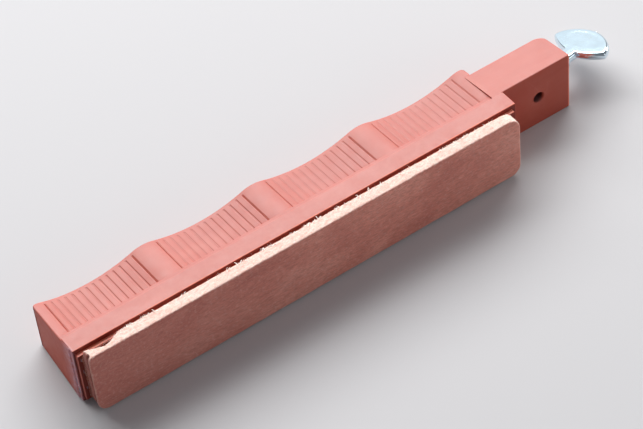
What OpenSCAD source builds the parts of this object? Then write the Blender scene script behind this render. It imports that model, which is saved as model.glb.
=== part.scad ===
// Leather stropping hone for a guide-rod sharpening kit.
// A moulded holder carries a leather strip on a raised pad. Its sides are
// scooped and ribbed for the fingers. A square tab at one end takes the foot
// of a guide rod, which a spade-headed thumbscrew clamps.
//
// Built lying on its side. X runs along the holder towards the thumbscrew,
// -Y is the leather side, +Z is up. The whole assembly leans back by
// lean_deg so that it stands on the edge of the leather and on the back
// corner of the grip. The origin is the centre of the guide-rod hole's mouth.
//
// Pieces are drawn upright in the holder's frame: X = 0 at the butt end,
// Y = 0 on the leather-side face, Z = 0 at the band's lower edge.

/* [Grip] */
// Length of the ribbed grip
grip_len = 101; // [88:1:120]
// Depth of the grip from the leather-side face to its back face
grip_depth = 16.05; // [14.5:0.05:18]
// Rise of each side towards the mid-plane, per unit of depth
side_draft = 0.104; // [0.06:0.002:0.12]
// Number of finger scoops on each side
scoops = 4; // [3:1:5]
// Radius of each finger scoop
scoop_r = 30.5; // [28:0.5:40]
// Radius of the rounded ridge between two scoops
ridge_r = 7; // [3:0.5:8]
// Distance from the leather-side face to where the scoops begin
scoop_start = 5.2; // [4.8:0.1:7]

/* [Ribs] */
// Number of grooves in each scoop
groove_count = 14; // [6:1:15]
// Pitch of the grooves
groove_pitch = 1.5; // [1.2:0.01:1.5]
// Width of a groove at the surface
groove_w = 0.5; // [0.3:0.02:0.7]
// Depth of a groove
groove_depth = 0.24; // [0.1:0.02:0.6]
// How far short of the back face the grooves stop
groove_margin = 0.75; // [0.5:0.05:2]

/* [Band] */
// Full height of the flat band beside the leather
band_h = 14.5; // [14:0.1:16]
// Depth of the band
band_depth = 4.15; // [3.5:0.05:4.5]
// How far the band is set in from the butt end
band_inset = 0.25; // [0:0.05:0.6]
// How far the band runs past the grip, under the tab
band_over = 1.2; // [0.5:0.1:2]
// Height of the moulded pad that the leather is stuck on
pad_rise = 0.9; // [0.5:0.05:1.5]
// Width of that pad
pad_w = 12.5; // [11:0.1:13]

/* [Tab] */
// Length of the tab beyond the grip
tab_len = 18.07; // [16:0.01:22]
// Depth of the back face of the tab from the leather-side face
tab_back = 13.4; // [13:0.1:13.6]
// Radius of the tab's outer back corner
tab_corner_r = 2.4; // [1:0.1:4]
// Distance of the guide-rod hole from the end of the tab
rod_from_end = 7.87; // [6:0.01:9]
// Radius of the guide-rod hole
rod_r = 1.2; // [1:0.05:1.6]
// Depth of the guide-rod hole
rod_depth = 7.7; // [6:0.1:8]

/* [Leather] */
// Length of the leather strip
leather_len = 98.95; // [85:0.05:118]
// Gap between the butt end and the leather
leather_start = 1.45; // [0.5:0.05:3]
// Width of the leather strip
leather_w = 15.7; // [14:0.1:17]
// Thickness of the leather strip
leather_t = 2.87; // [2:0.01:4]
// Thickness of the cement under the leather
cement_t = 0.2; // [0.1:0.02:0.4]

/* [Thumbscrew] */
// Radius of the threaded stud
stud_r = 1.75; // [1.5:0.05:2.2]
// Pitch of the thread
stud_pitch = 0.8; // [0.5:0.05:1]
// Distance of the screw's axis from the leather-side face, at the tab's end
screw_y = 9.5; // [8.5:0.1:10]
// Degrees the screw leans back, so that its head clears the guide rod
screw_lean = 8.2; // [0:0.1:12]
// Width of the spade head
head_w = 14.4; // [12:0.05:18]
// Thickness of the spade head
head_t = 2; // [1.6:0.1:2.8]
// Gap between the tab's end and the head's hub
neck_gap = 1.2; // [1.2:0.1:3]
// Reach of the head from the tab's end
head_reach = 12.9; // [11:0.05:16]
// Angle at which the head happens to stand
head_angle = -14.1; // [-90:0.1:90]

/* [Hidden] */
$fn = 64;

plastic = [0.80, 0.43, 0.36];
leather = [0.78, 0.52, 0.42];
cement = [0.86, 0.80, 0.72];
plated = [0.86, 0.89, 0.90];
steel = [0.70, 0.72, 0.73];

// Grip. The ridge tops lie on the two drafted planes. Scoop centres sit
// scoop_lift above them, so that each ridge is a cylinder tangent to both scoops.
draft_deg = atan(side_draft);
first_ridge_x = -0.25;
scoop_pitch = (grip_len - 0.4) / scoops;
scoop_lift = sqrt(pow(scoop_r + ridge_r, 2) - pow(scoop_pitch / 2, 2)) - ridge_r;
ridge_half = scoop_pitch / 2 * ridge_r / (scoop_r + ridge_r);
ridge_cut_depth = 0.6;  // below the ridge tops
scoop_cut_top = 3;      // above the ridge tops
grip_front = 1;         // the grip's section starts this far inside the band
grip_corner_r = 0.9;
corner_overcut = 5;     // above and below the band's height

// Pad and tab
pad_start = 0.7;
pad_len = grip_len - 0.4;
mid = band_h / 2;
tab_end = grip_len + tab_len;
rod_x = tab_end - rod_from_end;
tab_root = [12, 8, 7];  // block centred on the joint of tab and grip in X

// Leather and cement
leather_back = -(pad_rise + cement_t);
leather_low = mid - leather_w / 2;
low_corner_r = 2.5;
butt_top_corner_r = 0.8;
tab_top_corner_r = 3;
leather_edge = 3;       // width of the strips that join the corner rounds
cement_gap = 0.01;      // left on each face of the cement
cement_end_inset = 0.2;
cement_side_inset = 0.3;

// Lean that puts the leather's inner lower edge and the grip's back lower
// corner on one level surface. The tab's lower back edge stays just above it.
lean_slope = (side_draft * grip_depth - leather_low) / (grip_depth - leather_back);
lean_deg = atan(lean_slope);
tab_low = leather_low + lean_slope * (tab_back - leather_back) + 0.02;

// Stud, measured along the screw's axis
stud_clear = 0.05;      // running clearance on the screw's radius
stud_tip_gap = 0.4;     // the stud stops this far short of the rod hole
stud_in = (rod_from_end - rod_r - stud_tip_gap) / cos(screw_lean);
bore_in = rod_from_end / cos(screw_lean);
stud_chamfer = 0.5;
first_thread = 0.95;    // first thread groove's distance from the tip
thread_margin = 0.9;

// Hub and spade. A reach is measured from the tab's end.
socket_len = 1.5;
socket_gap = 0.15;      // between the stud's end and the socket's floor
hub_r = stud_r + 0.6;
hub_tip_r = 0.9;
hub_side_len = socket_len + 0.1;
hub_len = socket_len + 1;
spade_start = neck_gap + socket_len - 0.4;
root_reach = 4.95;
root_half_w = 1.7;
shoulder_reach = 7.8;
far_power = 1.81;       // superellipse exponents, 2 being a true ellipse
flank_power = 1.3;
far_steps = 26;
flank_steps = 12;

// Moves the holder's frame to its leaning place about the rod hole's mouth
module placed() {
    rotate([-lean_deg, 0, 0])
        translate([-rod_x, -band_depth, -mid])
            children();
}

// Puts the screw's own frame, X out along its axis, at the tab's end
module on_screw() {
    translate([tab_end, screw_y, mid])
        rotate([0, 0, screw_lean])
            children();
}

// A bar along X with the given section in the YZ plane
module bar(x_start, x_end) {
    translate([x_start, 0, 0])
        rotate([90, 0, 90])
            linear_extrude(height = x_end - x_start)
                children();
}

// Cuts an upright corner at the origin, whose solid lies towards -X and -Y, to a round
module corner_cut(radius) {
    translate([0, 0, -corner_overcut])
        linear_extrude(height = band_h + 2 * corner_overcut)
            difference() {
                translate([-radius, -radius]) square(radius + 2);
                translate([-radius, -radius]) circle(radius);
            }
}

// Clearance hole for the stud, in the screw's frame
module stud_bore(x_start, length) {
    translate([x_start, 0, 0])
        rotate([0, 90, 0])
            cylinder(r = stud_r + stud_clear, h = length);
}

// One groove, drawn about the point where it meets the scoop's surface
module groove() {
    mouth = groove_w / 2;
    floor_half = groove_w / 4;
    polygon([
        [-mouth - 0.05, 0.2], [-mouth, 0], [-floor_half, -groove_depth],
        [floor_half, -groove_depth], [mouth, 0], [mouth + 0.05, 0.2]
    ]);
}

// What a grip side loses: X along the holder, Y up from the ridge tops
module scoop_section(ribbed) {
    below = scoop_r + 2;
    for (i = [0 : scoops - 1])
        translate([first_ridge_x + scoop_pitch * (i + 0.5), scoop_lift]) {
            intersection() {
                circle(scoop_r, $fn = 180);
                translate([-scoop_pitch / 2, -below])
                    square([scoop_pitch, below - scoop_lift + scoop_cut_top]);
            }
            if (ribbed)
                for (k = [0 : groove_count - 1])
                    rotate(asin((k - (groove_count - 1) / 2) * groove_pitch / scoop_r))
                        translate([0, -scoop_r])
                            groove();
        }
    for (j = [0 : scoops])
        translate([first_ridge_x + scoop_pitch * j, 0])
            difference() {
                translate([-ridge_half, -ridge_cut_depth])
                    square([2 * ridge_half, ridge_cut_depth + scoop_cut_top]);
                translate([0, -ridge_r]) circle(ridge_r, $fn = 96);
            }
}

// A scoop section swept towards -Y from y_back
module scoop_sweep(y_back, length, ribbed) {
    translate([0, y_back, 0])
        rotate([90, 0, 0])
            linear_extrude(height = length)
                scoop_section(ribbed);
}

// The upper side's scoops: ribbed up to the margin, then plain past the back face
module scoop_cut() {
    groove_end = grip_depth - groove_margin;
    plain_len = 20;
    translate([0, 0, band_h])
        rotate([-draft_deg, 0, 0]) {
            scoop_sweep(groove_end, groove_end - scoop_start, true);
            scoop_sweep(groove_end + plain_len, plain_len, false);
        }
}

module grip() {
    front_rise = side_draft * grip_front;
    back_rise = side_draft * grip_depth;
    difference() {
        bar(0, grip_len)
            polygon([
                [grip_front, front_rise], [grip_depth, back_rise],
                [grip_depth, band_h - back_rise], [grip_front, band_h - front_rise]
            ]);
        scoop_cut();
        translate([0, 0, band_h]) mirror([0, 0, 1]) scoop_cut();
        translate([0, grip_depth, 0]) mirror([1, 0, 0]) corner_cut(grip_corner_r);
        translate([grip_len, grip_depth, 0]) corner_cut(grip_corner_r);
    }
}

module tab() {
    difference() {
        bar(grip_len, tab_end)
            polygon([
                [band_depth, 0], [tab_back, tab_low],
                [tab_back, band_h - tab_low], [band_depth, band_h]
            ]);
        translate([tab_end, tab_back, 0]) corner_cut(tab_corner_r);
    }
    // solid root that runs into the grip
    translate([grip_len - tab_root[0] / 2, band_depth - 1, mid - tab_root[2] / 2])
        cube(tab_root);
}

module band() {
    translate([band_inset, 0, 0])
        cube([grip_len + band_over - band_inset, band_depth, band_h]);
}

// Runs 1 mm into the band
module pad() {
    translate([pad_start, -pad_rise, mid - pad_w / 2])
        cube([pad_len, pad_rise + 1, pad_w]);
}

// Hole for the foot of the guide rod, open on the leather side
module rod_hole() {
    translate([rod_x, band_depth + rod_depth, mid])
        rotate([90, 0, 0])
            cylinder(r = rod_r, h = rod_depth + 1);
}

module holder() {
    color(plastic) placed() difference() {
        union() {
            grip();
            tab();
            band();
            pad();
        }
        // thumbscrew bore, from outside the end face to the rod hole
        on_screw() stud_bore(-bore_in, bore_in + 1.5);
        rod_hole();
    }
}

module contact_cement() {
    width = pad_w - 2 * cement_side_inset;
    color(cement) placed()
        translate([leather_start + cement_end_inset, leather_back + cement_gap, mid - width / 2])
            cube([leather_len - 2 * cement_end_inset, cement_t - 2 * cement_gap, width]);
}

// Face of the leather from its butt-end lower corner: X along it, Y up
module leather_outline() {
    low = low_corner_r;
    butt = butt_top_corner_r;
    far = tab_top_corner_r;
    edge = leather_edge;
    core_inset = 2;

    // corner rounds: x, y, radius
    for (round = [
        [leather_len - far, leather_w - far, far],
        [leather_len - low, low, low],
        [low, low, low],
        [butt, leather_w - butt, butt]
    ])
        translate([round[0], round[1]]) circle(round[2]);

    // edge strips between the rounds, then the core: corner, size
    for (fill = [
        [[low, 0], [leather_len - 2 * low, edge]],
        [[0, low], [edge, leather_w - low - butt]],
        [[butt, leather_w - edge], [leather_len - butt - far, edge]],
        [[leather_len - edge, low], [edge, leather_w - low - far]],
        [[core_inset, core_inset], [leather_len - 2 * core_inset, leather_w - 2 * core_inset]]
    ])
        translate(fill[0]) square(fill[1]);
}

module leather_strop() {
    color(leather) placed()
        translate([leather_start, leather_back, leather_low])
            rotate([90, 0, 0])
                linear_extrude(height = leather_t)
                    leather_outline();
}

// Threaded stud: a plain core with turned grooves at the thread's pitch
module thumbscrew_stud() {
    length = stud_in + neck_gap + socket_len - socket_gap;
    thread_count = floor((stud_in + neck_gap - thread_margin) / stud_pitch);
    color(steel) placed() on_screw()
        translate([-stud_in, 0, 0])
            rotate([0, 90, 0])
                rotate_extrude()
                    difference() {
                        polygon([
                            [0, 0], [stud_r - stud_chamfer, 0], [stud_r, stud_chamfer],
                            [stud_r, length], [0, length]
                        ]);
                        for (i = [0 : thread_count - 1])
                            translate([stud_r, first_thread + stud_pitch * i])
                                polygon([[0.1, -0.36], [-0.34, -0.05], [-0.34, 0.05], [0.1, 0.36]]);
                    }
}

// Point [reach, half width] on a superelliptic quarter, from the shoulder at
// 0 degrees to the given end at 90
function spade_point(angle, end_reach, end_half_w, power) = [
    shoulder_reach + (end_reach - shoulder_reach) * pow(sin(angle), 2 / power),
    end_half_w + (head_w / 2 - end_half_w) * pow(cos(angle), 2 / power)
];

// Outline of the spade: nearly straight flanks from the root to the rounded
// shoulders, then a rounded far side
module spade() {
    flank = [for (i = [flank_steps : -1 : 1])
        spade_point(90 * i / flank_steps, root_reach, root_half_w, flank_power)];
    far = [for (i = [0 : far_steps])
        spade_point(90 * i / far_steps, head_reach, 0, far_power)];
    half = concat([[spade_start, root_half_w]], flank, far);
    mirrored = [for (i = [len(half) - 2 : -1 : 0]) [half[i][0], -half[i][1]]];
    polygon(concat(half, mirrored));
}

module hub() {
    translate([neck_gap, 0, 0])
        rotate([0, 90, 0])
            rotate_extrude()
                polygon([
                    [0, 0], [hub_r, 0], [hub_r, hub_side_len],
                    [hub_tip_r, hub_len], [0, hub_len]
                ]);
}

module thumbscrew_head() {
    color(plated) placed() on_screw()
        rotate([head_angle, 0, 0])
            difference() {
                union() {
                    translate([0, 0, -head_t / 2]) linear_extrude(height = head_t) spade();
                    hub();
                }
                stud_bore(neck_gap - 1, socket_len + 1);
            }
}

holder();
contact_cement();
leather_strop();
thumbscrew_stud();
thumbscrew_head();
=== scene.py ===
import math
import random

import bmesh
import bpy
import numpy as np
from mathutils import Matrix, Vector, noise


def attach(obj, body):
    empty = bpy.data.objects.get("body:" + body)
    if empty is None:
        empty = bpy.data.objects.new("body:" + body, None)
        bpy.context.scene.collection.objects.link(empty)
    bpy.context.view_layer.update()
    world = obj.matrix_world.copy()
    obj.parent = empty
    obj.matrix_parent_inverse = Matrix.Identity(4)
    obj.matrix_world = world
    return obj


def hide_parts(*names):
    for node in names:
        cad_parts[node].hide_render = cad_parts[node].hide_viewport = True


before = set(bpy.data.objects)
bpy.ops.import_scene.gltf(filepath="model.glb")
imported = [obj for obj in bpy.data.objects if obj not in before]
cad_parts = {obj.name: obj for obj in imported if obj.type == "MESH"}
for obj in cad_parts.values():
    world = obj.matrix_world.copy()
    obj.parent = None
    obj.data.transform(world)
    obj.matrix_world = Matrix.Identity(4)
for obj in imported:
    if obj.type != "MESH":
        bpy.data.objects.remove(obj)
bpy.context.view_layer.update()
rng = random.Random(20)

# ---------------------------------------------------------------- sizes, mm
BAND_H, BAND_D, BAND_X0, BAND_X1 = 14.5, 4.15, 0.25, 102.2
PAD, PAD_W, CEM = 0.9, 12.5, 0.2
GRIP, TAB, GD, K = 101.0, 18.07, 16.05, 0.104
TAB_BACK, TAB_CORNER = 13.4, 2.4
SCOOP_R, RIDGE_R, SCOOP_0, SCOOP_P = 30.5, 7.0, -0.25, 25.15
SCOOP_Y = 5.2
RIB_N, RIB_P = 14, 1.5
LX0, LLEN, LW, LT = 1.45, 98.95, 15.7, 2.87
MID = BAND_H / 2
LBACK = -(PAD + CEM)
LLOW = MID - LW / 2
LTOP = LLOW + LW
TAB_END = GRIP + TAB
STUD_R, PITCH, S_LEAN, S_TURN = 1.75, 0.8, 8.2, -14.1
NECK, SOCKET = 1.2, 1.5
ROD_X = TAB_END - 7.87
SCREW_Y = 9.5
SLOPE = (K * GD - LLOW) / (GD - LBACK)
LEAN = math.atan(SLOPE)
TAB_LOW = LLOW + SLOPE * (TAB_BACK - LBACK) + 0.02

# design frame (mm) to row frame (m)
PLACE = (Matrix.Scale(0.001, 4) @ Matrix.Rotation(-LEAN, 4, "X")
         @ Matrix.Translation((-ROD_X, -BAND_D, -MID)))


# the screw's own frame: X out along its axis, from the end of the tab
SCREW = Matrix.Translation((TAB_END, SCREW_Y, MID)) @ Matrix.Rotation(math.radians(S_LEAN), 4, "Z")
STUD_IN = (TAB_END - ROD_X - 1.2 - 0.4) / math.cos(math.radians(S_LEAN))
BORE_IN = (TAB_END - ROD_X) / math.cos(math.radians(S_LEAN))


def n3(x, y, z, s=1.0, seed=0.0):
    return noise.noise(Vector((x / s + seed, y / s + 7.3 * seed, z / s - 3.1 * seed)))


# ---------------------------------------------------------------- mesh helpers
def new_obj(name, verts, faces, place=True):
    me = bpy.data.meshes.new(name)
    me.from_pydata([tuple(v) for v in verts], [], [tuple(f) for f in faces])
    me.update()
    ob = bpy.data.objects.new(name, me)
    bpy.context.scene.collection.objects.link(ob)
    if place:
        me.transform(PLACE)
    return ob


def fix_normals(me):
    bm = bmesh.new()
    bm.from_mesh(me)
    bmesh.ops.recalc_face_normals(bm, faces=bm.faces)
    bm.to_mesh(me)
    bm.free()


def sharpen(ob, deg=35.0, weighted=True):
    """Smooth shading with hard edges where the surface turns by more than deg."""
    bm = bmesh.new()
    bm.from_mesh(ob.data)
    lim = math.radians(deg)
    for f in bm.faces:
        f.smooth = True
    for e in bm.edges:
        e.smooth = not (len(e.link_faces) == 2 and e.calc_face_angle(0.0) > lim)
    bm.to_mesh(ob.data)
    bm.free()
    if weighted:
        m = ob.modifiers.new("weighted", "WEIGHTED_NORMAL")
        m.keep_sharp = True
        m.weight = 80
    return ob


def evaluated_mesh(ob):
    dg = bpy.context.evaluated_depsgraph_get()
    dg.update()
    return bpy.data.meshes.new_from_object(ob.evaluated_get(dg), depsgraph=dg)


def drop(*obs):
    for o in obs:
        bpy.data.objects.remove(o)


def loft(rings, cap=True):
    """Closed rings of equal length to one closed mesh."""
    n = len(rings[0])
    verts = [p for r in rings for p in r]
    faces = []
    for i in range(len(rings) - 1):
        a, b = i * n, (i + 1) * n
        for j in range(n):
            k = (j + 1) % n
            faces.append((a + j, a + k, b + k, b + j))
    if cap:
        faces.append(tuple(range(n - 1, -1, -1)))
        o = (len(rings) - 1) * n
        faces.append(tuple(range(o, o + n)))
    return verts, faces


def round_poly(pts, radii, seg=4):
    """Convex or concave polygon with each corner rounded to its radius."""
    out, n = [], len(pts)
    for i in range(n):
        p = np.array(pts[i], float)
        a = np.array(pts[i - 1], float) - p
        b = np.array(pts[(i + 1) % n], float) - p
        la, lb = np.linalg.norm(a), np.linalg.norm(b)
        a, b = a / la, b / lb
        half = math.acos(max(-1, min(1, float(a @ b)))) / 2
        r = min(radii[i], 0.49 * min(la, lb) * math.tan(half))
        t = r / math.tan(half)
        c = p + (a + b) / np.linalg.norm(a + b) * (r / math.sin(half))
        s, e = p + a * t - c, p + b * t - c
        a0, a1 = math.atan2(s[1], s[0]), math.atan2(e[1], e[0])
        d = (a1 - a0 + math.pi) % (2 * math.pi) - math.pi
        for k in range(seg + 1):
            th = a0 + d * k / seg
            out.append((c[0] + r * math.cos(th), c[1] + r * math.sin(th)))
    return out


def box_mesh(name, lo, hi, r, seg=3, keep=None):
    """Box with rounded edges. keep(mid) says which edges stay sharp."""
    bm = bmesh.new()
    bmesh.ops.create_cube(bm, size=1.0)
    for v in bm.verts:
        v.co = Vector([lo[i] if v.co[i] < 0 else hi[i] for i in range(3)])
    es = [e for e in bm.edges if not (keep and keep((e.verts[0].co + e.verts[1].co) / 2))]
    bmesh.ops.bevel(bm, geom=es, offset=r, segments=seg, profile=0.5, affect="EDGES")
    me = bpy.data.meshes.new(name)
    bm.to_mesh(me)
    bm.free()
    ob = bpy.data.objects.new(name, me)
    bpy.context.scene.collection.objects.link(ob)
    return ob


def cyl_mesh(name, profile, axis, at, seg=64):
    """Solid of revolution. profile is (distance along axis, radius) pairs."""
    rings = []
    for d, r in profile:
        ring = []
        for j in range(seg):
            t = 2 * math.pi * j / seg
            u, v = r * math.cos(t), r * math.sin(t)
            ring.append((at[0] + d, at[1] + u, at[2] + v) if axis == "X"
                        else (at[0] + u, at[1] + d, at[2] + v))
        rings.append(ring)
    verts, faces = loft(rings)
    me = bpy.data.meshes.new(name)
    me.from_pydata(verts, [], faces)
    fix_normals(me)
    ob = bpy.data.objects.new(name, me)
    bpy.context.scene.collection.objects.link(ob)
    return ob


def boolean(base, others):
    for o, op in others:
        m = base.modifiers.new("b", "BOOLEAN")
        m.operation = op
        m.solver = "EXACT"
        m.object = o
    me = evaluated_mesh(base)
    base.modifiers.clear()
    base.data = me
    drop(*[o for o, _ in others])
    return base


# ---------------------------------------------------------------- holder
LIFT = math.sqrt((SCOOP_R + RIDGE_R) ** 2 - (SCOOP_P / 2) ** 2) - RIDGE_R
RIDGE_HALF = SCOOP_P / 2 * RIDGE_R / (SCOOP_R + RIDGE_R)
GROOVE = [(-0.36, 0.0), (-0.29, 0.0), (-0.245, -0.012), (-0.20, -0.06), (-0.15, -0.115), (-0.09, -0.14), (0.09, -0.14),
          (0.15, -0.115), (0.20, -0.06), (0.245, -0.012), (0.29, 0.0), (0.36, 0.0)]
RIB_END = GD - 0.75


def scoop_z(x):
    u = x - SCOOP_0
    j = round(u / SCOOP_P) * SCOOP_P
    if abs(u - j) <= RIDGE_HALF:
        return -RIDGE_R + math.sqrt(RIDGE_R ** 2 - (u - j) ** 2)
    c = (math.floor(u / SCOOP_P) + 0.5) * SCOOP_P
    return LIFT - math.sqrt(SCOOP_R ** 2 - (u - c) ** 2)


def grip_stations():
    st = []
    for x in (0, 0.015, 0.05, 0.1, 0.16, 0.24, 0.34, 0.48, 0.66, 0.9, 1.3):
        st.append((x, 0.0))
    for x in (GRIP - 0.6, GRIP - 0.3, GRIP - 0.12, GRIP - 0.04, GRIP):
        st.append((x, 0.0))
    for i in range(4):
        xc = SCOOP_0 + SCOOP_P * (i + 0.5)
        for k in range(RIB_N):
            th = math.asin((k - (RIB_N - 1) / 2) * RIB_P / SCOOP_R)
            for s, g in GROOVE:
                st.append((xc + SCOOP_R * math.sin(th + s / SCOOP_R), g))
    for j in range(5):
        xj = SCOOP_0 + SCOOP_P * j
        for q in np.linspace(-1.18, 1.18, 13):
            x = xj + q * RIDGE_HALF
            if 1.5 < x < GRIP - 0.8:
                st.append((x, 0.0))
    st.sort()
    out = [st[0]]
    for x, g in st[1:]:
        if x - out[-1][0] > 0.012:
            out.append((x, g))
    return out


WALL = [(4.9, 0.0), (5.02, 0.008), (5.1, 0.05), (5.16, 0.16), (5.24, 0.84), (5.3, 0.95),
        (5.38, 0.99), (5.5, 1.0)]


def groove_share(y):
    """How much of a groove's depth is left at depth y: it runs out softly at both ends."""
    a = max(0.0, min(1.0, (y - 5.28) / 0.3))
    b = max(0.0, min(1.0, (RIB_END - 0.02 - y) / 0.34))
    t = min(a, b)
    return t * t * (3 - 2 * t)


def grip_ring(x, g):
    cs = math.cos(math.atan(K))
    depth = -scoop_z(x) / cs
    g = g * (0.92 - 0.42 * x / GRIP)
    e = 0.0
    edge = 0.34
    d_end = min(x, GRIP - x)
    if x > GRIP / 2:
        edge = 0.12
    if d_end < edge:
        e = edge - math.sqrt(max(edge ** 2 - (edge - d_end) ** 2, 0.0))
    back = GD
    if d_end < 0.9:
        back = GD - (0.9 - math.sqrt(max(0.81 - (0.9 - d_end) ** 2, 0.0)))
    rb = 0.42
    top = [(1.0 + e, 0.0), (2.5, 0.0)]
    top = [(y, BAND_H - K * y - e) for y, _ in top]
    for y, s in WALL + [(5.65, 1.0)]:
        top.append((y, BAND_H - K * y - depth * s + g / cs * groove_share(y) - e))
    for y in (6.6, 8.0, 9.4, 10.8, 12.2, 13.6, 14.6, 14.92, 15.0, 15.08, 15.16, 15.24, 15.32):
        top.append((y, BAND_H - K * y - depth + g / cs * groove_share(y) - e))
    zc = BAND_H - K * (back - rb) - depth - e - rb
    for k in range(5):
        t = math.pi / 2 * (1 - k / 4)
        top.append((back - rb + rb * math.cos(t), zc + rb * math.sin(t)))
    bot = [(y, BAND_H - z) for y, z in reversed(top)]
    front = [(1.0 + e, 4.0), (1.0 + e, 7.25), (1.0 + e, 10.5)]
    shear = 0.03 * max(0.0, 1 - x / 6.0)
    return [(x + shear * y, y, z) for y, z in top + [(back, 9.4), (back, 7.25), (back, 5.1)] + bot + front]


def tab_ring(x):
    e, edge = 0.0, 0.42
    if TAB_END - x < edge:
        e = edge - math.sqrt(max(edge ** 2 - (edge - (TAB_END - x)) ** 2, 0.0))
    yb = TAB_BACK
    q = x - (TAB_END - TAB_CORNER)
    if q > 0:
        yb = TAB_BACK - (TAB_CORNER - math.sqrt(max(TAB_CORNER ** 2 - q * q, 0.0)))
    yf = BAND_D if x > 101.95 else 3.6
    zt = 0.015
    zb = TAB_LOW * (yb - BAND_D) / (TAB_BACK - BAND_D)
    pts = [(yf + e, zt + e), (BAND_D + 0.5, zt + 0.05 + e), (yb - e, zb + e), (yb - e, BAND_H - zb - e),
           (BAND_D + 0.5, BAND_H - zt - 0.05 - e), (yf + e, BAND_H - zt - e)]
    rr = [0.32, 1.0, 0.45, 0.45, 1.0, 0.32]
    return [(x, y, z) for y, z in round_poly(pts, rr, 4)]


def build_holder():
    rings = [grip_ring(x, g) for x, g in grip_stations()]
    v, f = loft(rings)
    body = new_obj("holder_body", v, f, place=False)
    fix_normals(body.data)
    band = box_mesh("band", (BAND_X0, 0, 0), (BAND_X1, BAND_D, BAND_H), 0.2, 3,
                    keep=lambda m: m.x > 102 and m.y > 4)
    pad = box_mesh("pad", (0.7, -PAD, MID - PAD_W / 2), (101.3, 0.9, MID + PAD_W / 2), 0.12, 2)
    xs = [99.6, 100.6, 101.9, 102.0, 104, 108, 112, 115.5, TAB_END - TAB_CORNER]
    xs += [TAB_END - TAB_CORNER + TAB_CORNER * math.sin(math.radians(a)) for a in range(8, 60, 8)]
    xs += [TAB_END - 0.42 + 0.42 * math.sin(math.radians(a)) for a in (0, 15, 30, 45, 60, 72, 82, 90)]
    xs = sorted(xs)
    v, f = loft([tab_ring(x) for x in xs])
    tab = new_obj("tab", v, f, place=False)
    fix_normals(tab.data)
    rod = cyl_mesh("rod_hole", [(-2, 1.55), (0.0, 1.47), (0.1, 1.34), (0.3, 1.2), (7.3, 1.2), (7.7, 0.8)],
                   "Y", (ROD_X, BAND_D, MID), 56)
    b = STUD_R + 0.05
    screw = cyl_mesh("screw_bore", [(-BORE_IN, b), (-0.35, b), (0.02, b + 0.25), (1.5, b + 0.4)], "X", (0, 0, 0), 72)
    screw.data.transform(SCREW)
    boolean(body, [(band, "UNION"), (tab, "UNION"), (pad, "UNION"), (screw, "DIFFERENCE"), (rod, "DIFFERENCE")])
    body.data.name = "holder_body"
    bm = bmesh.new()
    bm.from_mesh(body.data)
    bmesh.ops.remove_doubles(bm, verts=bm.verts, dist=0.004)
    bmesh.ops.dissolve_degenerate(bm, edges=bm.edges, dist=0.002)
    bmesh.ops.recalc_face_normals(bm, faces=bm.faces)
    bm.to_mesh(body.data)
    bm.free()
    body.data.transform(PLACE)
    sharpen(body, 38)
    return body


# ---------------------------------------------------------------- leather
def bump(x, c, w):
    t = abs(x - c) / w
    return 0.0 if t >= 1 else (1 - t * t) ** 2


def lerp_table(x, xs, ys):
    return float(np.interp(x, xs, ys))


def leather_outline():
    """Rounded outline in X and Z, anticlockwise."""
    x0, x1, z0, z1 = LX0, LX0 + LLEN, LLOW, LTOP
    return round_poly([(x0, z0), (x1, z0), (x1, z1), (x0, z1)], [2.5, 2.5, 3.0, 0.9], 14)


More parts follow.
